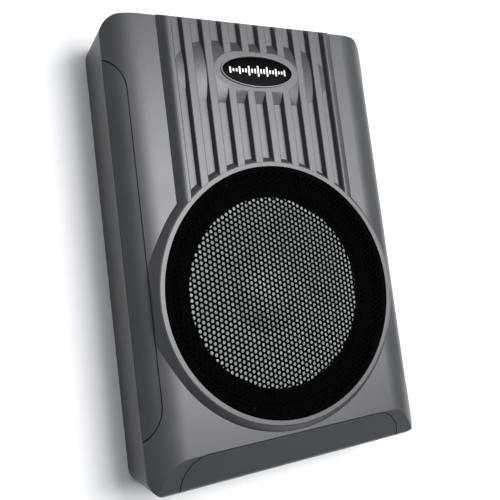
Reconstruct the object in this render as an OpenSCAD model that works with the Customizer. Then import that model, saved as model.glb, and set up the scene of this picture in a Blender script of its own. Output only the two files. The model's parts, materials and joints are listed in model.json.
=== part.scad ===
// Powered under-seat car subwoofer: a slim active box that lies flat on the cabin floor.
// Millimetres. X is the width, +Y the long way towards the connector end, +Z the way the cone faces.
// The underside lies on z = 0 and the plan is centred on the origin.

/* [Case] */
// Width of the case at the seal line, its widest level
body_w = 254.4; // [254:0.1:256]
// Length of the case at the seal line
body_l = 372; // [371:1:376]
// Corner radius of the case in plan, at the seal line
corner_r = 15; // [14:0.5:16]
// Draft of the tray walls: how much narrower each side is at the underside
tray_draft = 1.2; // [0.8:0.1:1.6]
// Height of the tray wall, up to the seal
tray_h = 52.6; // [52.6:0.1:52.6]
// Height of the flat margin of the cover
margin_z = 66.5; // [66:0.1:67]
// Height of the rib tops and the speaker rim
top_z = 72.5; // [72:0.1:74]
// Wall thickness of the tray
tray_wall = 2.2; // [1.8:0.1:3]

/* [Ribs and badge] */
// Distance between rib centres
rib_pitch = 17.29; // [16.5:0.01:17.5]
// Flat width of a rib top
rib_top_w = 7.3; // [6:0.1:8.5]
// Draft of one rib wall, seen in plan
rib_draft = 1.5; // [0.8:0.1:2]
// Half width of the raised field at its foot
field_half = 84.1; // [82:0.1:86]
// Length of the oval badge
badge_l = 69; // [60:1:74]
// Width of the oval badge
badge_w = 28; // [22:1:30]
// Badge centre, along the case
badge_y = 141.75; // [139:0.25:144]

/* [Speaker] */
// Speaker centre, along the case
spk_y = -43.85; // [-45:0.05:-42]
// Radius of the round grille well
well_r = 104.2; // [104:0.1:104.6]
// Radius of the outer edge of the rim, at its top
rim_r = 108.3; // [107.5:0.1:109]
// Radius of the outer edge of the rim, at the margin
rim_foot_r = 113.5; // [112.5:0.1:114]
// Radius of the bare part of the cone, inside the surround's lip
cone_r = 79.9; // [78:0.1:80.5]
// Height of the step that the speaker is screwed to
ledge_z = 57; // [57:0.1:57]

/* [Controls] */
// Radius of a control knob
knob_r = 4.5; // [3.5:0.1:5]
// Height of the connector row
row_z = 22; // [22:0.5:22]

/* [Hidden] */
$fn = 96;
half_w = body_w / 2;
half_l = body_l / 2;
// seal line, and the arc that rounds the cover down to it, leaving a narrow upright land at the edge
seal_z = 53;
flat_x = 97;
land = 0.4;
arc_dx = half_w + land - flat_x;
arc_dz = margin_z - seal_z;
arc_r = (arc_dx * arc_dx + arc_dz * arc_dz) / (2 * arc_dz);
arc_cz = margin_z - arc_r;
// underside of the cover
roof_z = margin_z - 4.4;
// top edge of the side panels, on the arc
shoulder_x = half_w - 14.6;
shoulder_z = arc_cz + sqrt(arc_r * arc_r - (shoulder_x - flat_x) * (shoulder_x - flat_x));
slope_a = atan2(shoulder_z - seal_z, half_w - shoulder_x);
slope_l = norm([half_w - shoulder_x, shoulder_z - seal_z]);
// straight part of the side panels' top edge, and their corner radius
side_y0 = -117.25;
side_y1 = 124.75;
side_r = 28;
// sloping end at -Y: from end_y the surface falls to a rounded nose
end_y = -half_l + 26.25;
nose_r = 6;
nose_y = -half_l + 6.4;
nose_z = 52.8;
// corner posts, tray corner centres
corner_x = half_w - corner_r;
corner_y = half_l - corner_r;
// raised field, a hair below the rim and the badge pad
rib_z = top_z - 0.1;
valley_z = 67.7;
border_top = field_half - 6.6;
border_in = border_top - 4.5;
border_fillet = 7;
edge_ease = 0.7;
rim_edge = 0.7;
cap_run = 3;
// case screws
case_pts = [
  [-108, -168], [108, -168], [-108, 168], [108, 168],
  [-115.5, -43.85], [115.5, -43.85], [-115.5, 75], [115.5, 75]
];
// bracket inserts in the underside
insert_x = 95;
insert_y = 155;
// driver screws
screw_r = 99;
screw_n = 8;
// connector end: recess opening and plate
win_x = 99;
win_z0 = 7;
win_z1 = 37;
plate_y0 = 175;
plate_y1 = 176.5;
knob_x = [-90, -75, -60];
switch_x = -43;
rca_x = [-26, -12];
hi_x = 9;
led_x = 26;
fuse_x = 43;
term_x = 76;
term_pitch = 11.5;
// circuit board
pcb_z0 = 12;
pcb_z1 = 13.6;
pcb_x = 96;
pcb_y0 = 78;
pcb_y1 = 172;
board_pts = [[-90, 84], [90, 84], [-90, 140], [90, 140], [0, 84], [0, 128]];

// ---- shared outlines ----

module round_rect(w, l, r) {
  square([w - 2 * r, l], center = true);
  square([w, l - 2 * r], center = true);
  for (sx = [-1, 1], sy = [-1, 1]) {
    translate([sx * (w / 2 - r), sy * (l / 2 - r)]) circle(r);
  }
}

module plan(inset, z0, z1) {
  translate([0, 0, z0]) linear_extrude(z1 - z0) {
    round_rect(body_w - 2 * inset, body_l - 2 * inset, corner_r - inset);
  }
}

// draws a Y-Z profile and extrudes it across the full width
module across(w) {
  rotate([90, 0, 90]) linear_extrude(w, center = true) children();
}

// draws an X-Z profile and extrudes it along the full length
module along(l) {
  rotate([90, 0, 0]) linear_extrude(l, center = true) children();
}

// distance from a filleted corner to where its arc touches each side; turn is how much the outline turns there
function touch(r, turn) = r * tan(turn / 2);

// right half of the outer X-Z section above the seal line
module section_half() {
  translate([-1, seal_z]) square([flat_x + 1, arc_dz]);
  intersection() {
    translate([flat_x, arc_cz]) circle(arc_r);
    translate([flat_x - 1, seal_z]) square([arc_dx + 1, arc_dz]);
  }
}

// Y-Z section of the whole cover with its sloping end; drop lowers the surface
module end_section(drop) {
  pc = [end_y - nose_y, margin_z - nose_z];
  r = nose_r - drop;
  fall = atan2(pc[1] - drop, pc[0]) - asin(r / norm([pc[0], pc[1] - drop]));
  polygon([
    [half_l + 5, seal_z - 2], [half_l + 5, margin_z - drop], [end_y, margin_z - drop],
    [nose_y - r * sin(fall), nose_z + r * cos(fall)], [nose_y, nose_z], [nose_y - r, nose_z],
    [nose_y - r, seal_z - 2]
  ]);
  translate([nose_y, nose_z]) circle(r);
}

module cover_block() {
  intersection() {
    plan(0, seal_z, margin_z);
    along(body_l + 20) {
      section_half();
      mirror([1, 0]) section_half();
    }
    across(body_w + 20) end_section(0);
  }
}

module cover_cavity() {
  intersection() {
    plan(3.4, seal_z - 1, margin_z);
    along(body_l + 20) polygon([
      [-119.3, seal_z - 1], [119.3, seal_z - 1], [119.3, seal_z], [109.9, 59.6], [104, 62.4], [flat_x, 63.5],
      [-flat_x, 63.5], [-104, 62.4], [-109.9, 59.6], [-119.3, seal_z]
    ]);
    across(body_w + 20) end_section(margin_z - roof_z);
  }
}

// X-Z section of one rib, its two upper edges eased in short flats
module rib(x, w) {
  polygon([[x - w / 2 - rib_draft, valley_z - 0.4], [x + w / 2 + rib_draft, valley_z - 0.4],
    [x + w / 2 + 0.05, rib_z - edge_ease], [x + w / 2 - 0.3 * edge_ease, rib_z - 0.3 * edge_ease],
    [x + w / 2 - edge_ease, rib_z], [x - w / 2 + edge_ease, rib_z],
    [x - w / 2 + 0.3 * edge_ease, rib_z - 0.3 * edge_ease], [x - w / 2 - 0.05, rib_z - edge_ease]]);
}

// X-Z section of the raised border strip on the +X side, its outer edge eased in short flats
module border() {
  fall = atan2(rib_z - margin_z, field_half - border_top);
  t = touch(border_fillet, fall);
  polygon(concat(
    [[border_in, rib_z - 0.7], [border_in - rib_draft, valley_z], [border_in - rib_draft, margin_z - 2],
      [field_half, margin_z - 2], [field_half, margin_z]],
    [for (i = [4:-1:0]) [border_top - t + border_fillet * sin(fall * i / 4),
      rib_z - border_fillet * (1 - cos(fall * i / 4))]],
    [[border_in + 0.8, rib_z]]
  ));
}

module raised_field() {
  from_y = spk_y + 57;
  mid_y = (half_l + from_y) / 2;
  len_y = half_l - from_y;
  // valley floors
  translate([-field_half + 6, from_y, margin_z - 1]) {
    cube([2 * field_half - 12, len_y, valley_z - margin_z + 1]);
  }
  intersection() {
    translate([0, mid_y, 0]) along(len_y) {
      for (i = [0:7]) rib((i - 3.5) * rib_pitch, rib_top_w);
      border();
      mirror([1, 0]) border();
    }
    across(body_w) polygon([[from_y - 1, margin_z - 3], [half_l, margin_z - 3], [half_l, valley_z],
      [half_l - cap_run, rib_z + 1], [from_y - 1, rib_z + 1]]);
  }
  // pad under the badge, sloping down to the valley floors
  hull() {
    for (s = [-1, 1]) {
      translate([s * 36, badge_y, valley_z - 0.3]) scale([39 / 27, 1, 1]) cylinder(r = 27, h = 0.1, $fn = 64);
      translate([s * 14, badge_y, top_z - 0.6]) scale([26 / 17, 1, 1]) cylinder(r = 17, h = 0.6, $fn = 64);
    }
  }
}

// raised rim round the grille; its cone runs down into the cover and stops flat at the side panels
module rim_block() {
  fall = atan2(top_z - margin_z, rim_foot_r - rim_r);
  intersection() {
    translate([0, spk_y, 0]) rotate_extrude() polygon([
      [80, 60], [rim_foot_r + 6.5 / tan(fall), 60],
      [rim_r + rim_edge * cos(fall), top_z - rim_edge * sin(fall)],
      [rim_r - 0.2 * rim_edge, top_z - 0.3 * rim_edge],
      [rim_r - rim_edge, top_z], [80, top_z]
    ]);
    translate([-shoulder_x + 0.1, -half_l, 0]) cube([2 * shoulder_x - 0.2, body_l, top_z + 1]);
  }
}

// ---- inset panels ----

// outline of a side panel in the sloping plane: x runs down the slope, y along the case
module side_outline(grow) {
  r = side_r + grow;
  steps = 12;
  polygon(concat(
    [for (i = [0:steps]) [side_r + r * cos(180 + 90 * i / steps), side_y0 + r * sin(180 + 90 * i / steps)]],
    [for (i = [0:steps]) [side_r + r * cos(90 + 90 * i / steps), side_y1 + r * sin(90 + 90 * i / steps)]]
  ));
}

// places a shape made in the sloping plane onto the +X side
module on_slope() {
  translate([shoulder_x, 0, shoulder_z]) rotate([0, slope_a, 0]) children();
}

module side_pocket() {
  on_slope() translate([0, 0, -3.1]) linear_extrude(8) side_outline(0.4);
}

module side_panel() {
  intersection() {
    on_slope() intersection() {
      translate([0, 0, -3]) linear_extrude(6) side_outline(-0.5);
      rotate([90, 0, 0]) linear_extrude(body_l, center = true) polygon(concat(
        [[0, -3], [slope_l + 4, -3]],
        [for (i = [0:16]) [slope_l * (1 - i / 16), 1.3 * sin(11.25 * i) - 1.1 * i / 16]]
      ));
    }
    plan(0, seal_z + 0.2, margin_z);
  }
}

// plan outline of the -Y end panel
module end_outline(grow) {
  r = 24 + grow;
  translate([-80 - grow, -half_l - 10]) square([160 + 2 * grow, half_l + 10 + end_y - 24]);
  translate([-80, -half_l - 10]) square([160, half_l + 10 + end_y + grow]);
  intersection() {
    translate([-120, -half_l - 10]) square([240, half_l + 10 + end_y + grow]);
    union() {
      for (s = [-1, 1]) translate([s * 80, end_y - 24]) circle(r);
      translate([-80 - r, -half_l - 10]) square([160 + 2 * r, half_l + 10 + end_y - 24]);
    }
  }
}

module end_skin() {
  difference() {
    translate([-half_w, -half_l - 3, seal_z - 2]) cube([body_w, half_l + 4 + end_y, margin_z]);
    across(body_w + 2) end_section(2);
  }
}

module end_pocket() {
  intersection() {
    end_skin();
    translate([0, 0, seal_z - 2]) linear_extrude(40) end_outline(0.4);
  }
}

module end_panel() {
  color([0.25, 0.26, 0.28]) intersection() {
    end_skin();
    translate([0, 0, seal_z + 0.2]) linear_extrude(40) end_outline(-0.4);
    across(body_w) end_section(0);
    plan(0, seal_z, margin_z + 1);
  }
}

module side_panel_right() {
  color([0.2, 0.21, 0.24]) side_panel();
}

module side_panel_left() {
  color([0.2, 0.21, 0.24]) mirror([1, 0, 0]) side_panel();
}

// ---- case ----

module screw_ring(r) {
  for (i = [0:screw_n - 1]) {
    rotate(22.5 + i * 360 / screw_n) translate([r, 0, 0]) children();
  }
}

module top_cover() {
  color([0.42, 0.43, 0.45]) difference() {
    union() {
      cover_block();
      raised_field();
      rim_block();
    }
    difference() {
      cover_cavity();
      // wall and step of the speaker well
      translate([0, spk_y, ledge_z - 3]) cylinder(r = 107.2, h = 20);
      translate([0, spk_y, ledge_z - 9]) screw_ring(screw_r) cylinder(r = 4, h = 10);
      for (p = case_pts) translate([p[0], p[1], seal_z]) cylinder(r = 4.6, h = 8);
    }
    translate([0, spk_y, ledge_z]) cylinder(r = well_r, h = 20);
    translate([0, spk_y, ledge_z - 10]) cylinder(r = 94.2, h = 20);
    translate([0, spk_y, ledge_z - 10]) screw_ring(screw_r) cylinder(r = 1.65, h = 20);
    for (p = case_pts) translate([p[0], p[1], seal_z - 1]) cylinder(r = 1.65, h = 5);
    side_pocket();
    mirror([1, 0, 0]) side_pocket();
    end_pocket();
    badge_seat();
  }
}

module badge_seat() {
  translate([0, badge_y, top_z - 0.5]) oval(badge_l, badge_w, 2);
}

// drafted block: inset is measured inwards from the outer walls
module drafted(inset, z0, z1) {
  d0 = tray_draft * (1 - z0 / tray_h) + inset;
  d1 = tray_draft * (1 - z1 / tray_h) + inset;
  along(2 * corner_y) polygon([[-half_w + d0, z0], [half_w - d0, z0], [half_w - d1, z1], [-half_w + d1, z1]]);
  across(2 * corner_x) polygon([[-half_l + d0, z0], [half_l - d0, z0], [half_l - d1, z1], [-half_l + d1, z1]]);
  for (sx = [-1, 1], sy = [-1, 1]) translate([sx * corner_x, sy * corner_y, z0]) {
    cylinder(r1 = corner_r - d0, r2 = corner_r - d1, h = z1 - z0);
  }
}

module base_tray() {
  recess_l = half_l - 2.2 - plate_y1;
  color([0.13, 0.13, 0.14]) difference() {
    union() {
      difference() {
        drafted(0, 0, tray_h);
        drafted(tray_wall, tray_wall, tray_h + 1);
      }
      for (p = case_pts) translate([p[0], p[1], 1]) cylinder(r = 5.6, h = tray_h - 1);
      for (sx = [-1, 1], sy = [-1, 1]) {
        translate([sx * insert_x, sy * insert_y, 1]) cylinder(r = 6.5, h = 9);
      }
      // recess around the connector plate
      difference() {
        translate([-win_x - 7, plate_y1, 1]) cube([2 * win_x + 14, recess_l, win_z1 + 2]);
        translate([-win_x, plate_y1 - 1, win_z0]) cube([2 * win_x, 20, win_z1 - win_z0]);
      }
    }
    translate([-win_x, plate_y1 + 1, win_z0]) cube([2 * win_x, 20, win_z1 - win_z0]);
    for (p = case_pts) {
      translate([p[0], p[1], -1]) cylinder(r = 3.8, h = 41);
      translate([p[0], p[1], 0]) cylinder(r = 1.9, h = 60);
    }
    for (sx = [-1, 1], sy = [-1, 1]) {
      translate([sx * insert_x, sy * insert_y, -1]) cylinder(r = 3.6, h = 9);
    }
    for (sx = [-1, 1], z = [12, 32]) {
      translate([sx * (win_x + 3.5), plate_y1 - 1, z]) rotate([-90, 0, 0]) cylinder(r = 1.3, h = 6);
    }
  }
}

module case_seal() {
  color([0.05, 0.05, 0.05]) difference() {
    plan(0.6, tray_h, seal_z);
    plan(2, tray_h - 1, seal_z + 1);
  }
}

module bracket_inserts() {
  color([0.75, 0.62, 0.3]) for (sx = [-1, 1], sy = [-1, 1]) {
    translate([sx * insert_x, sy * insert_y, 0]) difference() {
      cylinder(r = 3.6, h = 8);
      translate([0, 0, -1]) cylinder(r = 2.5, h = 10);
    }
  }
}

// countersunk-free pan head screw pointing up, head at the bottom
module pan_screw(head_r, head_h, shank_r, shank_l) {
  difference() {
    union() {
      translate([0, 0, -head_h]) cylinder(r = head_r, h = head_h);
      cylinder(r = shank_r, h = shank_l);
    }
    for (a = [0, 90]) rotate(a) translate([0, 0, -head_h]) {
      cube([head_r * 1.1, head_r * 0.25, head_h], center = true);
    }
  }
}

module case_screws() {
  color([0.2, 0.2, 0.2]) for (p = case_pts) translate([p[0], p[1], 40]) pan_screw(3.3, 2.2, 1.6, 16);
}

module driver_screws() {
  color([0.1, 0.1, 0.1]) translate([0, spk_y, ledge_z + 2.5]) screw_ring(screw_r) {
    mirror([0, 0, 1]) pan_screw(2.9, 2, 1.6, 10);
  }
}

module grille() {
  color([0.06, 0.06, 0.06]) translate([0, spk_y, 0]) {
    translate([0, 0, top_z - 1.7]) cylinder(r = well_r - 0.3, h = 1.2);
    difference() {
      translate([0, 0, ledge_z]) cylinder(r = well_r - 0.3, h = top_z - 0.5 - ledge_z);
      translate([0, 0, ledge_z - 1]) cylinder(r = well_r - 1.5, h = top_z);
    }
  }
}

// ---- badge ----

module oval(l, w, h) {
  scale([l / w, 1, 1]) cylinder(d = w, h = h);
}

module badge_bezel() {
  color([0.75, 0.76, 0.78]) translate([0, badge_y, top_z - 0.5]) difference() {
    oval(badge_l - 0.4, badge_w - 0.4, 1.6);
    translate([0, 0, 0.6]) oval(badge_l - 2.2, badge_w - 2.2, 2);
  }
}

module badge_dome() {
  color([0.03, 0.03, 0.03]) translate([0, badge_y, top_z + 0.1]) intersection() {
    scale([(badge_l - 2.6) / (badge_w - 2.6), 1, 2.6 / (badge_w - 2.6)]) sphere(d = badge_w - 2.6);
    translate([-50, -50, 0]) cube([100, 100, 10]);
  }
}

// ---- speaker ----

module basket() {
  color([0.12, 0.12, 0.12]) translate([0, spk_y, 0]) difference() {
    rotate_extrude() polygon([
      [30, 24], [49, 24], [52, 31], [62, 31], [93.9, 57.5], [102.4, 57.5], [102.4, 59.5],
      [93.3, 59.5], [61, 33], [51, 33], [47.8, 25.5], [30, 25.5]
    ]);
    for (i = [0:5]) rotate(i * 60) translate([76, 0, 44]) cube([24, 44, 19], center = true);
    translate([0, 0, 55]) screw_ring(screw_r) cylinder(r = 1.9, h = 10);
  }
}

module basket_gasket() {
  color([0.1, 0.1, 0.1]) translate([0, spk_y, ledge_z]) difference() {
    cylinder(r = 102.4, h = 0.5);
    translate([0, 0, -1]) cylinder(r = 94.4, h = 3);
    translate([0, 0, -1]) screw_ring(screw_r) cylinder(r = 1.9, h = 3);
  }
}

// half-roll rubber ring: inner lip on the cone, outer lip on the flange
module surround() {
  roll_out = 5;
  roll_mid = 93.9 - roll_out;
  color([0.05, 0.05, 0.05]) translate([0, spk_y, 0]) rotate_extrude() {
    difference() {
      translate([roll_mid, 59.5]) circle(roll_out);
      translate([roll_mid, 59.5]) circle(roll_out - 0.8);
      translate([0, 40]) square([120, 19.5]);
    }
    translate([cone_r, 59.5]) square([roll_mid - roll_out + 0.8 - cone_r, 0.8]);
    translate([roll_mid + roll_out - 0.8, 59.5]) square([2.8, 0.8]);
  }
}

module surround_trim() {
  color([0.04, 0.04, 0.04]) translate([0, spk_y, 60.3]) difference() {
    cylinder(r = 95.9, h = 1.2);
    translate([0, 0, -1]) cylinder(r = 94.2, h = 4);
  }
}

module cone() {
  edge = cone_r + 3.8;
  color([0.8, 0.81, 0.82]) translate([0, spk_y, 0]) rotate_extrude() polygon([
    [26, 40.5], [30, 40.9], [cone_r - 3, 58.7], [edge, 58.7], [edge, 59.5],
    [cone_r - 3.3, 59.5], [29.7, 41.8], [26, 41.5]
  ]);
}

module dust_cap() {
  cap_r = 34;
  ball_r = 74;
  drop = sqrt(ball_r * ball_r - cap_r * cap_r);
  color([0.8, 0.81, 0.82]) translate([0, spk_y, 43.6 - drop]) rotate_extrude() {
    intersection() {
      difference() {
        circle(ball_r);
        circle(ball_r - 0.8);
      }
      translate([0, drop]) square([cap_r, 20]);
    }
  }
}

module coil_former() {
  color([0.8, 0.7, 0.45]) translate([0, spk_y, 14.5]) difference() {
    cylinder(r = 26, h = 28);
    translate([0, 0, -1]) cylinder(r = 25.6, h = 30);
  }
}

module voice_coil() {
  color([0.72, 0.4, 0.2]) translate([0, spk_y, 15]) difference() {
    cylinder(r = 26.7, h = 14);
    translate([0, 0, -1]) cylinder(r = 26, h = 16);
  }
}

// corrugated centring disc
module spider() {
  color([0.78, 0.65, 0.35]) translate([0, spk_y, 0]) rotate_extrude() polygon(concat(
    [for (i = [0:6]) [26.2 + i * 5, 33 + (i % 2) * 1.6]],
    [for (i = [6:-1:0]) [26.2 + i * 5, 33.7 + (i % 2) * 1.6]]
  ));
}

module top_plate() {
  color([0.6, 0.6, 0.62]) translate([0, spk_y, 20]) difference() {
    cylinder(r = 46, h = 4);
    translate([0, 0, -1]) cylinder(r = 27.1, h = 6);
  }
}

module magnet() {
  color([0.15, 0.15, 0.16]) translate([0, spk_y, 8]) difference() {
    cylinder(r = 50, h = 12);
    translate([0, 0, -1]) cylinder(r = 31, h = 14);
  }
}

module yoke() {
  color([0.6, 0.6, 0.62]) translate([0, spk_y, 4]) difference() {
    union() {
      cylinder(r = 46, h = 4);
      cylinder(r = 25.2, h = 20);
    }
    translate([0, 0, -1]) cylinder(r = 6, h = 30);
  }
}

module driver_terminal() {
  color([0.35, 0.22, 0.12]) translate([-13, spk_y + 52.5, 28]) cube([26, 9.5, 3]);
}

module terminal_lugs() {
  color([0.8, 0.65, 0.3]) for (x = [-7, 7]) {
    translate([x - 2.4, spk_y + 55, 27.2]) cube([4.8, 15, 0.8]);
  }
}

// ---- amplifier ----

module circuit_board() {
  color([0.1, 0.35, 0.18]) difference() {
    translate([-pcb_x, pcb_y0, pcb_z0]) cube([2 * pcb_x, pcb_y1 - pcb_y0, pcb_z1 - pcb_z0]);
    for (p = board_pts) translate([p[0], p[1], pcb_z0 - 1]) cylinder(r = 1.7, h = 5);
  }
}

module standoffs() {
  color([0.78, 0.65, 0.35]) for (p = board_pts) translate([p[0], p[1], tray_wall]) difference() {
    cylinder(r = 3.4, h = pcb_z0 - tray_wall, $fn = 6);
    translate([0, 0, 3]) cylinder(r = 1.35, h = 10);
  }
}

module board_screws() {
  color([0.7, 0.7, 0.72]) for (p = board_pts) translate([p[0], p[1], pcb_z1]) {
    mirror([0, 0, 1]) pan_screw(2.7, 1.8, 1.3, 6);
  }
}

module toroid() {
  color([0.7, 0.4, 0.15]) translate([-60, 112, pcb_z1]) {
    translate([0, 0, 9.5]) rotate_extrude() translate([14.5, 0]) circle(8);
    cylinder(r = 14.5, h = 2);
  }
}

module inductor() {
  color([0.65, 0.35, 0.12]) translate([58, 104, pcb_z1]) difference() {
    cylinder(r = 12, h = 16);
    translate([0, 0, 3]) cylinder(r = 4, h = 20);
  }
}

module capacitors() {
  color([0.1, 0.12, 0.3]) for (p = [[-18, 104], [4, 104], [26, 104], [82, 116]]) {
    translate([p[0], p[1], pcb_z1]) {
      cylinder(r = 8, h = 30);
      cylinder(r = 8.3, h = 2);
    }
  }
}

module heat_bar() {
  color([0.72, 0.73, 0.75]) difference() {
    translate([-80, 152, pcb_z1]) cube([160, 8, roof_z - pcb_z1]);
    translate([-60, 150, pcb_z1 - 1]) cube([120, 20, 4]);
  }
}

module transistors() {
  color([0.08, 0.08, 0.08]) for (i = [0:5]) translate([-70 + i * 28, 147.4, pcb_z1]) {
    translate([-5, 0, 4]) cube([10, 4.6, 10]);
    translate([-5, 3.4, 14]) cube([10, 1.2, 6.5]);
    for (x = [-3, 0, 3]) translate([x - 0.5, 1.5, 0]) cube([1, 0.8, 4]);
  }
}

module chips() {
  color([0.06, 0.06, 0.06]) for (p = [[-30, 128], [36, 128], [12, 142], [-64, 138]]) {
    translate([p[0] - 10, p[1] - 4, pcb_z1]) cube([20, 8, 3.2]);
  }
}

// ---- connector end ----

module at_plate(x) {
  translate([x, plate_y1, row_z]) rotate([-90, 0, 0]) children();
}

module control_panel() {
  color([0.1, 0.1, 0.11]) difference() {
    translate([-win_x - 6.5, plate_y0, win_z0 - 2]) cube([2 * win_x + 13, 1.5, win_z1 - win_z0 + 4]);
    for (x = knob_x) translate([0, -3, 0]) at_plate(x) cylinder(r = 2.6, h = 6);
    for (x = rca_x) translate([0, -3, 0]) at_plate(x) cylinder(r = 4.5, h = 6);
    translate([0, -3, 0]) at_plate(led_x) cylinder(r = 1.7, h = 6);
    translate([switch_x - 4.5, plate_y0 - 1, row_z - 2.4]) cube([9, 5, 4.8]);
    translate([hi_x - 10.4, plate_y0 - 1, row_z - 5.9]) cube([20.8, 5, 11.8]);
    translate([fuse_x - 12.2, plate_y0 - 1, row_z - 5.2]) cube([24.4, 5, 10.4]);
    translate([term_x - 18.7, plate_y0 - 1, row_z - 8.2]) cube([37.4, 5, 16.4]);
    for (sx = [-1, 1], z = [12, 32]) {
      translate([sx * (win_x + 3.5), plate_y0 - 1, z]) rotate([-90, 0, 0]) cylinder(r = 1.6, h = 6);
    }
  }
}

module panel_screws() {
  color([0.7, 0.7, 0.72]) for (sx = [-1, 1], z = [12, 32]) {
    translate([sx * (win_x + 3.5), plate_y0, z]) rotate([-90, 0, 0]) pan_screw(2.6, 1.6, 1.25, 6);
  }
}

module rca_shells() {
  color([0.8, 0.68, 0.35]) for (x = rca_x) at_plate(x) difference() {
    translate([0, 0, -7]) cylinder(r = 4.15, h = 14.5);
    translate([0, 0, -8]) cylinder(r = 3.2, h = 20);
  }
}

module rca_inserts() {
  color([0.85, 0.85, 0.85]) for (x = rca_x) {
    at_plate(x) difference() {
      translate([0, 0, -7]) cylinder(r = 3.2, h = 14.2);
      translate([0, 0, -1]) cylinder(r = 1.65, h = 12);
    }
    translate([x - 5.5, plate_y0 - 11, pcb_z1]) cube([11, 5.5, 13.4]);
  }
}

module level_socket() {
  color([0.9, 0.9, 0.88]) difference() {
    translate([hi_x - 10, plate_y0 - 12, row_z - 5.5]) cube([20, 15.5, 11]);
    translate([hi_x - 8.5, plate_y0 - 8, row_z - 4]) cube([17, 20, 8]);
  }
}

module level_pins() {
  color([0.8, 0.68, 0.35]) for (i = [0:3]) {
    translate([hi_x - 6.5 + i * 4 , plate_y0 - 8, row_z - 0.5]) cube([1, 7, 1]);
  }
}

// barrier strip with its clamp screws facing outwards
module power_terminals() {
  color([0.08, 0.08, 0.08]) difference() {
    translate([term_x - 18.3, plate_y0 - 11, row_z - 7.8]) cube([36.6, 19, 15.6]);
    for (i = [-1:1]) {
      translate([term_x + i * term_pitch - 4.7, plate_y1 + 1.6, row_z - 5.8]) cube([9.4, 10, 11.6]);
      translate([term_x + i * term_pitch, plate_y1 - 4.6, row_z]) rotate([-90, 0, 0]) cylinder(r = 1.85, h = 9);
    }
  }
}

module terminal_screws() {
  color([0.75, 0.75, 0.77]) for (i = [-1:1]) {
    translate([term_x + i * term_pitch, plate_y1 + 1.6, row_z]) rotate([90, 0, 0]) pan_screw(3.6, 2.2, 1.75, 6);
  }
}

module fuse_holder() {
  color([0.08, 0.08, 0.08]) difference() {
    translate([fuse_x - 11.8, plate_y0 - 12, row_z - 4.8]) cube([23.6, 15.5, 9.6]);
    translate([fuse_x - 9.8, plate_y0 - 1, row_z - 2.8]) cube([19.6, 10, 5.6]);
    for (s = [-1, 1]) translate([fuse_x + s * 6.5 - 2.8, plate_y0 - 9, row_z - 0.6]) cube([5.6, 12, 1.2]);
  }
}

module fuse() {
  color([0.85, 0.4, 0.05]) {
    translate([fuse_x - 9.5, plate_y0 - 1, row_z - 2.5]) cube([19, 9, 5]);
    for (s = [-1, 1]) translate([fuse_x + s * 6.5 - 2.5, plate_y0 - 8.5, row_z - 0.4]) cube([5, 8, 0.8]);
  }
}

module led_lens() {
  color([0.7, 0.1, 0.08]) at_plate(led_x) {
    translate([0, 0, -5]) cylinder(r = 1.5, h = 6);
    translate([0, 0, 1]) sphere(1.5);
    translate([0, 0, -5]) cylinder(r = 1.9, h = 2);
  }
}

module pots() {
  color([0.3, 0.32, 0.35]) for (x = knob_x) difference() {
    translate([x - 5, plate_y0 - 10, pcb_z1]) cube([10, 9.5, 13.4]);
    translate([0, -7.5, 0]) at_plate(x) cylinder(r = 2.4, h = 10);
  }
}

module knob(x) {
  color([0.06, 0.06, 0.06]) at_plate(x) difference() {
    union() {
      translate([0, 0, 0.6]) cylinder(r = knob_r, h = 6.2);
      translate([0, 0, -6.8]) cylinder(r = 2, h = 8);
      for (i = [0:11]) rotate(i * 30) translate([knob_r, 0, 0.6]) cylinder(r = 0.35, h = 5.4);
    }
    translate([-0.5, -knob_r - 1, 5.9]) cube([1, knob_r + 1, 2]);
  }
}

module gain_knob() {
  knob(knob_x[0]);
}

module crossover_knob() {
  knob(knob_x[1]);
}

module bass_knob() {
  knob(knob_x[2]);
}

module switch_body() {
  color([0.6, 0.6, 0.62]) difference() {
    translate([switch_x - 7, plate_y0 - 7, pcb_z1]) cube([14, 6.8, row_z + 4 - pcb_z1]);
    translate([switch_x - 4.6, plate_y0 - 4, row_z - 2.5]) cube([9.2, 6, 5]);
  }
}

module switch_slider() {
  color([0.9, 0.9, 0.88]) translate([switch_x - 3.5, plate_y0 - 3.6, row_z - 1.8]) cube([3, 8.6, 3.6]);
}

base_tray();
top_cover();
case_seal();
side_panel_left();
side_panel_right();
end_panel();
grille();
badge_bezel();
badge_dome();
basket();
basket_gasket();
surround();
surround_trim();
cone();
dust_cap();
coil_former();
voice_coil();
spider();
top_plate();
magnet();
yoke();
driver_terminal();
terminal_lugs();
driver_screws();
case_screws();
bracket_inserts();
circuit_board();
standoffs();
board_screws();
toroid();
inductor();
capacitors();
transistors();
heat_bar();
chips();
control_panel();
panel_screws();
rca_shells();
rca_inserts();
level_socket();
level_pins();
power_terminals();
terminal_screws();
fuse_holder();
fuse();
led_lens();
pots();
gain_knob();
crossover_knob();
bass_knob();
switch_body();
switch_slider();
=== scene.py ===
import json
import math

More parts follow.
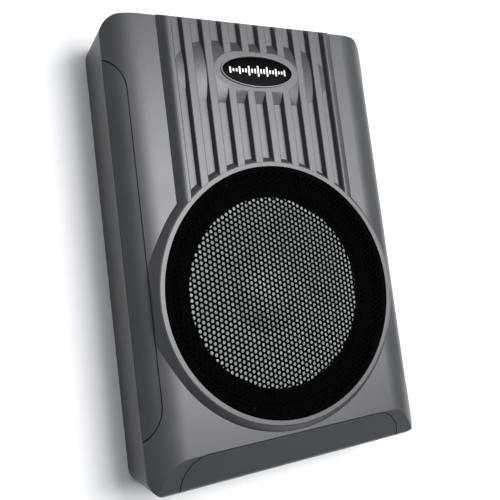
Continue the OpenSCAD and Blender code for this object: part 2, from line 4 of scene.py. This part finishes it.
import bmesh
import bpy
from mathutils import Matrix, Vector
from mathutils.geometry import delaunay_2d_cdt
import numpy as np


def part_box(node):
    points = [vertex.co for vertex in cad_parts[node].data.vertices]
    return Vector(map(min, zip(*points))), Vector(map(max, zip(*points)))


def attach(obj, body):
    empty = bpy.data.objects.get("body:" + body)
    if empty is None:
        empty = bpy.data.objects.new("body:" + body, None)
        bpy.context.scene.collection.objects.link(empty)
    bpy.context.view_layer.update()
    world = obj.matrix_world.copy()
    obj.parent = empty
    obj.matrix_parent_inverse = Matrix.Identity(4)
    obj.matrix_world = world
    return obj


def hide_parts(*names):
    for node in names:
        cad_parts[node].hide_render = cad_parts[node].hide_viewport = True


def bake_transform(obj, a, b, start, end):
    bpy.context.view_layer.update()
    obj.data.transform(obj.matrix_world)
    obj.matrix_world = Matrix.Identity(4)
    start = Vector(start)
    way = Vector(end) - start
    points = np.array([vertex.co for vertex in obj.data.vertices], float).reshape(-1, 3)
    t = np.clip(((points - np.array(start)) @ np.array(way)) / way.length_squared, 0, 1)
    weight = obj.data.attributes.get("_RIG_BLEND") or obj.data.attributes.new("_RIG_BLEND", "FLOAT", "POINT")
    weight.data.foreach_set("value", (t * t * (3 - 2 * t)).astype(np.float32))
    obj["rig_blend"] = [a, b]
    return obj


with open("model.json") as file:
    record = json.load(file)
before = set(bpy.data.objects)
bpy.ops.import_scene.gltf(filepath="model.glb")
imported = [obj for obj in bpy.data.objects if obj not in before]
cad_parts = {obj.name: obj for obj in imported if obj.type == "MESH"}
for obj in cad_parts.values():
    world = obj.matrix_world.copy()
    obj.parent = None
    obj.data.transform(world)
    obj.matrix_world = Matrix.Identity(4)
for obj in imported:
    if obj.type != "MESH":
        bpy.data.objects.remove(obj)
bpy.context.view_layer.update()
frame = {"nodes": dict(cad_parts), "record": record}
NODES = frame["nodes"]

# ---------------------------------------------------------------- helpers


def middle(node):
    """The centre of a node's box."""
    lo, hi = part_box(node)
    return (lo + hi) / 2


def new_object(name, bm, material, body, smooth_angle=35):
    """A mesh object with one material, smooth except at edges sharper than smooth_angle degrees."""
    mesh = bpy.data.meshes.new(name)
    bm.to_mesh(mesh)
    bm.free()
    mesh.materials.append(material)
    for p in mesh.polygons:
        p.use_smooth = True
    obj = bpy.data.objects.new(name, mesh)
    bpy.context.scene.collection.objects.link(obj)
    mesh.set_sharp_from_angle(angle=math.radians(smooth_angle))
    if body:
        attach(obj, body)
    return obj


def revolve(bm, outline, centre, steps):
    """Turns a closed outline of (radius, z) points about the vertical axis through centre."""
    rings = []
    for r, z in outline:
        ring = []
        for i in range(steps):
            a = 2 * math.pi * i / steps
            ring.append(bm.verts.new((centre.x + r * math.cos(a), centre.y + r * math.sin(a), z)))
        rings.append(ring)
    for a, b in zip(rings, rings[1:] + rings[:1]):
        for i in range(steps):
            j = (i + 1) % steps
            bm.faces.new((a[i], a[j], b[j], b[i]))
    bmesh.ops.recalc_face_normals(bm, faces=bm.faces)


# ---------------------------------------------------------------- materials

CLOUD_SCALE = 22.0
CLOUD_SHARE = 0.55     # how much of the mottling comes from the soft noise
GRAIN_SHARE = 0.45     # and how much from the fine noise
MILLIMETRE = 0.001


def surface(name, color, rough, metal=0.0, grain=900.0, grain_depth=0.04, mottle=0.12,
            rough_var=0.08, coat=0.0, coat_rough=0.2, sheen=0.0, spec=0.5, stretch=(1, 1, 1)):
    """A procedural finish: colour mottling, roughness variation and a bump grain, its depth in mm."""
    m = bpy.data.materials.new(name)
    m.use_nodes = True
    nt = m.node_tree
    b = nt.nodes["Principled BSDF"]
    b.inputs["Metallic"].default_value = metal
    b.inputs["Coat Weight"].default_value = coat
    b.inputs["Coat Roughness"].default_value = coat_rough
    b.inputs["Sheen Weight"].default_value = sheen
    b.inputs["Specular IOR Level"].default_value = spec
    coords = nt.nodes.new("ShaderNodeTexCoord")
    mapping = nt.nodes.new("ShaderNodeMapping")
    mapping.inputs["Scale"].default_value = stretch
    nt.links.new(coords.outputs["Object"], mapping.inputs["Vector"])
    cloud = nt.nodes.new("ShaderNodeTexNoise")
    cloud.inputs["Scale"].default_value = CLOUD_SCALE
    cloud.inputs["Detail"].default_value = 4.0
    nt.links.new(mapping.outputs["Vector"], cloud.inputs["Vector"])
    fine = nt.nodes.new("ShaderNodeTexNoise")
    fine.inputs["Scale"].default_value = grain
    fine.inputs["Detail"].default_value = 2.0
    nt.links.new(mapping.outputs["Vector"], fine.inputs["Vector"])
    ramp = nt.nodes.new("ShaderNodeValToRGB")
    dark = [c * (1 - mottle) for c in color]
    light = [min(1.0, c * (1 + mottle)) for c in color]
    ramp.color_ramp.elements[0].position = 0.3
    ramp.color_ramp.elements[0].color = (*dark, 1)
    ramp.color_ramp.elements[1].position = 0.7
    ramp.color_ramp.elements[1].color = (*light, 1)
    mix = nt.nodes.new("ShaderNodeMath")
    mix.operation = "MULTIPLY_ADD"
    mix.inputs[1].default_value = CLOUD_SHARE
    nt.links.new(cloud.outputs["Fac"], mix.inputs[0])
    share = nt.nodes.new("ShaderNodeMath")
    share.operation = "MULTIPLY"
    share.inputs[1].default_value = GRAIN_SHARE
    nt.links.new(fine.outputs["Fac"], share.inputs[0])
    nt.links.new(share.outputs[0], mix.inputs[2])
    nt.links.new(mix.outputs[0], ramp.inputs["Fac"])
    nt.links.new(ramp.outputs["Color"], b.inputs["Base Color"])
    rough_range = nt.nodes.new("ShaderNodeMapRange")
    rough_range.inputs["To Min"].default_value = max(0.02, rough - rough_var)
    rough_range.inputs["To Max"].default_value = min(1.0, rough + rough_var)
    nt.links.new(cloud.outputs["Fac"], rough_range.inputs["Value"])
    nt.links.new(rough_range.outputs["Result"], b.inputs["Roughness"])
    bump = nt.nodes.new("ShaderNodeBump")
    bump.inputs["Strength"].default_value = 1.0
    bump.inputs["Distance"].default_value = grain_depth * MILLIMETRE
    nt.links.new(fine.outputs["Fac"], bump.inputs["Height"])
    nt.links.new(bump.outputs["Normal"], b.inputs["Normal"])
    return m


PAINT = dict(metal=0.35, grain=1500, grain_depth=0.03, mottle=0.1, coat=0.15, coat_rough=0.35)

# colour, roughness and what differs from a plain finish
LOOKS = {
    "tray_paint": ((0.022, 0.024, 0.027), 0.42, dict(grain=1400, grain_depth=0.05, mottle=0.15)),
    "cover_paint": ((0.064, 0.067, 0.071), 0.4, PAINT),
    "panel_paint": ((0.056, 0.06, 0.065), 0.42, PAINT),
    "black_rubber": ((0.004, 0.004, 0.004), 0.8, dict(grain=700, grain_depth=0.06, spec=0.06)),
    "grille_black": ((0.001, 0.001, 0.0012), 0.75, dict(grain=1600, grain_depth=0.02, spec=0.01)),
    "badge_chrome": ((0.085, 0.09, 0.095), 0.38,
                     dict(metal=1.0, grain_depth=0.004, mottle=0.03, rough_var=0.04)),
    "badge_gloss": ((0.0015, 0.0015, 0.0015), 0.3,
                    dict(grain_depth=0.003, mottle=0.1, rough_var=0.04, coat_rough=0.1, spec=0.02)),
    "badge_mark": ((0.85, 0.87, 0.86), 0.4, dict(grain_depth=0.004, mottle=0.05)),
    "basket_black": ((0.0025, 0.0025, 0.0025), 0.7, dict(grain=1200, grain_depth=0.04, spec=0.05)),
    "surround_rubber": ((0.0025, 0.0025, 0.0025), 0.75, dict(grain=900, grain_depth=0.05, spec=0.05)),
    "cone_silver": ((0.6, 0.66, 0.68), 0.5, dict(metal=0.1, grain=500, grain_depth=0.05, mottle=0.05)),
    "former_paper": ((0.5, 0.34, 0.15), 0.55, dict(grain=600, grain_depth=0.05)),
    "copper": ((0.58, 0.24, 0.1), 0.3,
               dict(metal=0.9, grain=300, grain_depth=0.2, mottle=0.2, stretch=(1, 1, 6))),
    "spider_cloth": ((0.5, 0.36, 0.15), 0.85, dict(grain=1100, grain_depth=0.2, sheen=0.2)),
    "zinc_steel": ((0.6, 0.61, 0.62), 0.32, dict(metal=1.0, grain=600, grain_depth=0.03)),
    "ferrite": ((0.035, 0.035, 0.038), 0.6, dict(grain=350, grain_depth=0.12, mottle=0.25)),
    "phenolic": ((0.16, 0.08, 0.03), 0.5, dict(grain=400, grain_depth=0.05, mottle=0.2)),
    "brass_tin": ((0.75, 0.58, 0.24), 0.25, dict(metal=1.0, grain=500, grain_depth=0.02)),
    "black_steel": ((0.006, 0.006, 0.006), 0.55, dict(metal=0.2, grain=700, grain_depth=0.03, spec=0.1)),
    "brass": ((0.66, 0.47, 0.18), 0.3, dict(metal=1.0, grain=500, grain_depth=0.03)),
    "board_green": ((0.015, 0.13, 0.045), 0.3, dict(grain=260, grain_depth=0.05, mottle=0.35)),
    "cap_sleeve": ((0.015, 0.02, 0.075), 0.3, dict(grain=300, grain_depth=0.02)),
    "chip_black": ((0.014, 0.014, 0.014), 0.55, dict(grain=900, grain_depth=0.05)),
    "bar_aluminium": ((0.68, 0.69, 0.7), 0.35,
                      dict(metal=1.0, grain=200, grain_depth=0.06, stretch=(0.1, 6, 6))),
    "plate_black": ((0.016, 0.016, 0.017), 0.5, dict(grain=1200, grain_depth=0.06)),
    "white_plastic": ((0.66, 0.66, 0.62), 0.45, dict(grain=500, grain_depth=0.02, mottle=0.04)),
    "terminal_black": ((0.014, 0.014, 0.014), 0.5, dict(grain=800, grain_depth=0.05)),
    "fuse_orange": ((0.75, 0.2, 0.02), 0.25, dict(grain=300, grain_depth=0.01, coat=0.4)),
    "led_red": ((0.45, 0.02, 0.015), 0.15, dict(grain=300, grain_depth=0.005, coat=0.8)),
    "pot_blue": ((0.05, 0.07, 0.12), 0.5, dict(grain=700, grain_depth=0.04)),
    "knob_black": ((0.013, 0.013, 0.013), 0.5, dict(grain=900, grain_depth=0.05)),
}
FINISH = {name: surface(name, color, rough, **rest) for name, (color, rough, rest) in LOOKS.items()}

for part in frame["record"]["subparts"]:
    node = NODES[part["node"]]
    node.data.materials.clear()
    node.data.materials.append(FINISH[part["material_slot"]])

# ---------------------------------------------------------------- perforated grille

grille_lo, grille_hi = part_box("grille")
spk = middle("grille")
GR_TOP = grille_hi.z
GR_R = (grille_hi.x - grille_lo.x) / 2
ROW = 0.00376                  # distance between hole columns
PITCH = 0.00434                # distance between holes in a column
HOLE_R = 0.00148
SHEET = 0.0009
FIELD_R = GR_R - 0.0042        # holes lie inside this radius
FLAT_R = GR_R - 0.0012         # where the flat sheet ends and its rolled edge starts
EDGE_STEPS = 240
CELL_POINTS = 12               # the corners of a hexagonal cell and the middles of its sides
COS_30 = math.cos(math.radians(30))
CELL_R = PITCH / math.sqrt(3)  # a cell's centre to its corner
CELL_FLAT = CELL_R * COS_30    # and to the middle of its side
WELDS_PER_METRE = 2e6          # cell corners that round to the same or a neighbouring step are one vertex


def hole_centres():
    """The centres of the holes about the grille's own centre, in staggered columns."""
    centres = []
    columns = int(FIELD_R / ROW) + 1
    rows = int(FIELD_R / PITCH) + 2
    for i in range(-columns, columns + 1):
        shift = PITCH / 2 if i % 2 else 0.0
        for j in range(-rows, rows + 1):
            x, y = i * ROW, j * PITCH + shift
            if math.hypot(x, y) < FIELD_R:
                centres.append((x, y))
    return centres


def add_cells(bm, centres):
    """Adds a hexagonal cell with a round hole at each centre, and returns the vertices of the holes."""
    made = {}
    holes = set()

    def vert(x, y):
        key = (round(x * WELDS_PER_METRE), round(y * WELDS_PER_METRE))
        for dx in (-1, 0, 1):
            for dy in (-1, 0, 1):
                if (key[0] + dx, key[1] + dy) in made:
                    return made[(key[0] + dx, key[1] + dy)]
        made[key] = bm.verts.new((x, y, 0))
        return made[key]

    for x, y in centres:
        outer, inner = [], []
        for k in range(CELL_POINTS):
            a = math.radians(360 / CELL_POINTS * k)
            r = CELL_R if k % 2 == 0 else CELL_FLAT
            outer.append(vert(x + r * math.cos(a), y + r * math.sin(a)))
            inner.append(bm.verts.new((x + HOLE_R * math.cos(a), y + HOLE_R * math.sin(a), 0)))
        for k in range(CELL_POINTS):
            n = (k + 1) % CELL_POINTS
            bm.faces.new((outer[k], outer[n], inner[n], inner[k]))
        holes.update(inner)
    return holes


def in_hexagon(x, y, by_column, column):
    """Whether a point lies in a cell of this column or of the ones beside it."""
    for k in (column - 1, column, column + 1):
        for cx, cy in by_column.get(k, []):
            dx, dy = abs(x - cx), abs(y - cy)
            if max(dy, dx * COS_30 + dy * 0.5) < CELL_FLAT * 0.999:
                return True
    return False


def add_plain_ring(bm, centres, holes):
    """Adds the plain sheet between the outermost cells and the rolled edge."""
    rim = [e for e in bm.edges if e.is_boundary and not (e.verts[0] in holes and e.verts[1] in holes)]
    order = {}
    points, edges = [], []
    for e in rim:
        pair = []
        for v in e.verts:
            if v not in order:
                order[v] = len(points)
                points.append(Vector((v.co.x, v.co.y)))
            pair.append(order[v])
        edges.append(pair)
    first = len(points)
    for k in range(EDGE_STEPS):
        a = 2 * math.pi * k / EDGE_STEPS
        points.append(Vector((FLAT_R * math.cos(a), FLAT_R * math.sin(a))))
        edges.append((first + k, first + (k + 1) % EDGE_STEPS))
    out_verts, _, out_faces, origins, _, _ = delaunay_2d_cdt(points, edges, [], 1, 1e-7)
    by_index = {i: v for v, i in order.items()}
    ring_verts = {}

    def out_vert(i):
        src = origins[i][0] if origins[i] else None
        if src is not None and src in by_index:
            return by_index[src]
        if i not in ring_verts:
            p = out_verts[i]
            ring_verts[i] = bm.verts.new((p.x, p.y, 0))
        return ring_verts[i]

    by_column = {}
    for c in centres:
        by_column.setdefault(round(c[0] / ROW), []).append(c)
    for f in out_faces:
        cx = sum(out_verts[i].x for i in f) / len(f)
        cy = sum(out_verts[i].y for i in f) / len(f)
        column = round(cx / ROW)
        near = min((math.hypot(cx - c[0], cy - c[1])
                    for k in (column - 1, column, column + 1) for c in by_column.get(k, [])), default=1)
        if near < CELL_R * 0.99 and in_hexagon(cx, cy, by_column, column):
            continue
        try:
            bm.faces.new([out_vert(i) for i in f])
        except ValueError:
            pass    # this face is already there


def make_grille():
    """The perforated sheet with its rolled edge and skirt."""
    bm = bmesh.new()
    centres = hole_centres()
    add_plain_ring(bm, centres, add_cells(bm, centres))
    bmesh.ops.recalc_face_normals(bm, faces=bm.faces)
    if sum(f.normal.z for f in bm.faces) < 0:
        bmesh.ops.reverse_faces(bm, faces=bm.faces)
    for v in bm.verts:
        v.co += Vector((spk.x, spk.y, GR_TOP))
    edge = [e for e in bm.edges if e.is_boundary and all(
        math.hypot(v.co.x - spk.x, v.co.y - spk.y) > GR_R - 0.0014 for v in e.verts)]
    skirt = [(GR_R - 0.0006, GR_TOP - 0.00018), (GR_R - 0.00015, GR_TOP - 0.0007), (GR_R, GR_TOP - 0.0014),
             (GR_R, grille_lo.z)]
    for r, z in skirt:
        grown = bmesh.ops.extrude_edge_only(bm, edges=edge)["geom"]
        for v in [g for g in grown if isinstance(g, bmesh.types.BMVert)]:
            d = Vector((v.co.x - spk.x, v.co.y - spk.y)).normalized() * r
            v.co = Vector((spk.x + d.x, spk.y + d.y, z))
        edge = [g for g in grown if isinstance(g, bmesh.types.BMEdge)]
    bmesh.ops.recalc_face_normals(bm, faces=bm.faces)
    obj = new_object("grille_sheet", bm, FINISH["grille_black"], None, 40)
    thick = obj.modifiers.new("thickness", "SOLIDIFY")
    thick.thickness = SHEET
    thick.offset = -1
    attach(obj, "cabinet")
    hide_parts("grille")


make_grille()

# ---------------------------------------------------------------- surround and spider that flex with the cone

CONE_EDGE = 0.0799             # the cone's outer radius
LIP_Z = 0.0595                 # the underside of the surround's two flat lips
LIP_OUTER = 0.0958
SURROUND_MOVING = CONE_EDGE + 0.0039
SURROUND_FIXED = 0.0936
SPIDER_MOVING = 0.028
SPIDER_FIXED = 0.051


def radial_blend(obj, r_moving, r_fixed):
    """The piece follows the cone inside r_moving and the basket outside r_fixed.

    They are written over here with weights that run outwards from the axis, so start and end
    don't describe this piece."""
    c = spk
    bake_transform(obj, "cabinet", "cone", start=(c.x, c.y, 0.0), end=(c.x, c.y, 0.1))
    data = obj.data.attributes["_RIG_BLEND"].data
    for v in obj.data.vertices:
        r = math.hypot(v.co.x - c.x, v.co.y - c.y)
        t = min(1.0, max(0.0, (r_fixed - r) / (r_fixed - r_moving)))
        data[v.index].value = t * t * (3 - 2 * t)


def make_surround():
    """A half-roll of rubber between a lip on the cone and a lip on the basket."""
    mid, out, thick = 0.0889, 0.005, 0.0008
    steps = 20
    top = [(CONE_EDGE, LIP_Z + thick), (mid - out - 0.0004, LIP_Z + thick)]
    under = [(CONE_EDGE, LIP_Z), (mid - out + 0.0002, LIP_Z)]
    for k in range(steps + 1):
        a = math.pi * (1 - k / steps)
        top.append((mid + out * math.cos(a), LIP_Z + thick + (out - thick) * math.sin(a)))
        under.append((mid + (out - thick) * math.cos(a), LIP_Z + (out - thick) * math.sin(a)))
    top += [(mid + out + 0.0003, LIP_Z + thick), (LIP_OUTER, LIP_Z + thick)]
    under += [(mid + out - 0.0002, LIP_Z), (LIP_OUTER, LIP_Z)]
    bm = bmesh.new()
    revolve(bm, top + under[::-1], spk, 144)
    obj = new_object("surround_roll", bm, FINISH["surround_rubber"], None, 50)
    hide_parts("surround")
    radial_blend(obj, SURROUND_MOVING, SURROUND_FIXED)


def make_spider():
    """A disc of cloth in round waves between the coil former and the basket."""
    lo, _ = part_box("spider")
    inner, outer, thick = 0.0262, 0.0562, 0.0006
    wave_middle, wave_height = 0.0009, 0.0008
    waves, steps = 3, 60
    top, under = [], []
    for k in range(steps + 1):
        r = inner + (outer - inner) * k / steps
        z = lo.z + wave_middle - wave_height * math.cos(2 * math.pi * waves * k / steps)
        top.append((r, z + thick))
        under.append((r, z))
    bm = bmesh.new()
    revolve(bm, top + under[::-1], spk, 96)
    obj = new_object("spider_cloth_disc", bm, FINISH["spider_cloth"], None, 50)
    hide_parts("spider")
    radial_blend(obj, SPIDER_MOVING, SPIDER_FIXED)


make_surround()
make_spider()

# ---------------------------------------------------------------- badge: a gloss oval with plain level bars

dome_lo, dome_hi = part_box("badge_dome")
dome_c = middle("badge_dome")
DOME_RX = (dome_hi.x - dome_lo.x) / 2
DOME_RY = (dome_hi.y - dome_lo.y) / 2
INLAY = 0.0002                 # how far the dome is lowered to make room for the bars on it


def dome_height(x, y):
    """The height of the visible dome's surface."""
    u = (x - dome_c.x) / DOME_RX
    v = (y - dome_c.y) / DOME_RY
    return dome_lo.z + (dome_hi.z - dome_lo.z - INLAY) * math.sqrt(max(0.0, 1 - u * u - v * v))


def make_dome():
    """The gloss oval, a hair lower than its CAD solid so that its bars stay inside the case's height."""
    bm = bmesh.new()
    rings, steps = 24, 128
    top = bm.verts.new((dome_c.x, dome_c.y, dome_height(dome_c.x, dome_c.y)))
    previous = None
    for k in range(1, rings + 1):
        t = math.sin(math.pi / 2 * k / rings)
        ring = []
        for i in range(steps):
            a = 2 * math.pi * i / steps
            x, y = dome_c.x + DOME_RX * t * math.cos(a), dome_c.y + DOME_RY * t * math.sin(a)
            ring.append(bm.verts.new((x, y, dome_lo.z if k == rings else dome_height(x, y))))
        for i in range(steps):
            j = (i + 1) % steps
            if previous is None:
                bm.faces.new((top, ring[i], ring[j]))
            else:
                bm.faces.new((previous[i], ring[i], ring[j], previous[j]))
        previous = ring
    bm.faces.new(previous[::-1])
    obj = new_object("badge_gloss_dome", bm, FINISH["badge_gloss"], "cabinet", 50)
    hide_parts("badge_dome")


def make_emblem():
    """A row of bars of different lengths, like a level meter, that follow the dome."""
    count, gap, width, longest = 19, 0.0029, 0.0018, 0.0046
    sink, rise = -0.0001, 0.00016
    across = ((-0.5, sink), (-0.32, rise), (0.32, rise), (0.5, sink))
    steps = 8
    centre = (count - 1) / 2
    bm = bmesh.new()
    for i in range(count):
        x = dome_c.x + (i - centre) * gap
        swell = 0.5 + 0.5 * math.exp(-((i - centre) / 6.0) ** 2)
        half = longest * swell * (0.62 + 0.38 * math.cos(i * 2.1))
        rows = []
        for k in range(steps + 1):
            y = dome_c.y - half + 2 * half * k / steps
            row = []
            for sx, lift in across:
                px = x + sx * width
                row.append(bm.verts.new((px, y, dome_height(px, y) + lift)))
            rows.append(row)
        for a, b in zip(rows, rows[1:]):
            for k in range(3):
                bm.faces.new((a[k], a[k + 1], b[k + 1], b[k]))
        for row in (rows[0], rows[-1]):
            bm.faces.new(row)
        for a, b in zip(rows, rows[1:]):
            bm.faces.new((a[0], b[0], b[3], a[3]))
    bmesh.ops.recalc_face_normals(bm, faces=bm.faces)
    new_object("badge_bars", bm, FINISH["badge_mark"], "cabinet", 30)


make_dome()
make_emblem()

# ---------------------------------------------------------------- stage, lights and camera

# the camera looks from TARGET + LOOK_BACK * DISTANCE, as the photograph's does
TARGET = Vector((-0.027, -0.00845, 0.070))
LOOK_BACK = Vector((-0.46383, -0.08480, 0.88186))
UP_HINT = Vector((0.07077, 0.98868, 0.13229))
DISTANCE = 0.5043
FOCAL_LENGTH = 44.87
SENSOR_WIDTH = 36.0
FLOOR_GAP = 0.0004
LIGHT_CENTRE = Vector((0, 0, 0.03))


def make_camera():
    """The photograph's point of view."""
    z = LOOK_BACK.normalized()
    x = UP_HINT.cross(z).normalized()
    y = z.cross(x)
    cam = bpy.data.cameras.new("camera")
    cam.lens = FOCAL_LENGTH
    cam.sensor_width = SENSOR_WIDTH
    cam.clip_start = 0.01
    cam.clip_end = 30
    obj = bpy.data.objects.new("camera", cam)
    bpy.context.scene.collection.objects.link(obj)
    obj.matrix_world = Matrix.Translation(TARGET + z * DISTANCE) @ Matrix((x, y, z)).transposed().to_4x4()
    bpy.context.scene.camera = obj


def make_floor():
    """White paper just under the case."""
    bm = bmesh.new()
    bmesh.ops.create_grid(bm, x_segments=8, y_segments=8, size=3.0)
    m = surface("floor_paper", (0.9, 0.9, 0.9), 0.9, grain=60, grain_depth=0.0, mottle=0.01, spec=0.1)
    floor = new_object("floor", bm, m, None)
    floor.location.z = -FLOOR_GAP


def softbox(name, direction, distance, size, power):
    """A square white area light that faces the case from a direction."""
    light = bpy.data.lights.new(name, "AREA")
    light.shape = "RECTANGLE"
    light.size, light.size_y = size, size
    light.energy = power
    obj = bpy.data.objects.new(name, light)
    bpy.context.scene.collection.objects.link(obj)
    d = Vector(direction).normalized()
    obj.location = LIGHT_CENTRE + d * distance
    obj.rotation_mode = "QUATERNION"
    obj.rotation_quaternion = d.to_track_quat("Z", "Y")


def make_world():
    """A dim, slightly blue surround."""
    world = bpy.data.worlds.new("studio")
    bpy.context.scene.world = world
    world.use_nodes = True
    world.node_tree.nodes["Background"].inputs["Color"].default_value = (0.78, 0.88, 1.0, 1)
    world.node_tree.nodes["Background"].inputs["Strength"].default_value = 0.25


make_camera()
make_floor()
bpy.context.scene.view_settings.view_transform = "Standard"
softbox("key_sheen", (0.36, 0.1, 0.92), 1.5, 1.0, 31)
softbox("over_top", (-0.1, 0.3, 1.0), 1.7, 0.9, 7)
make_world()
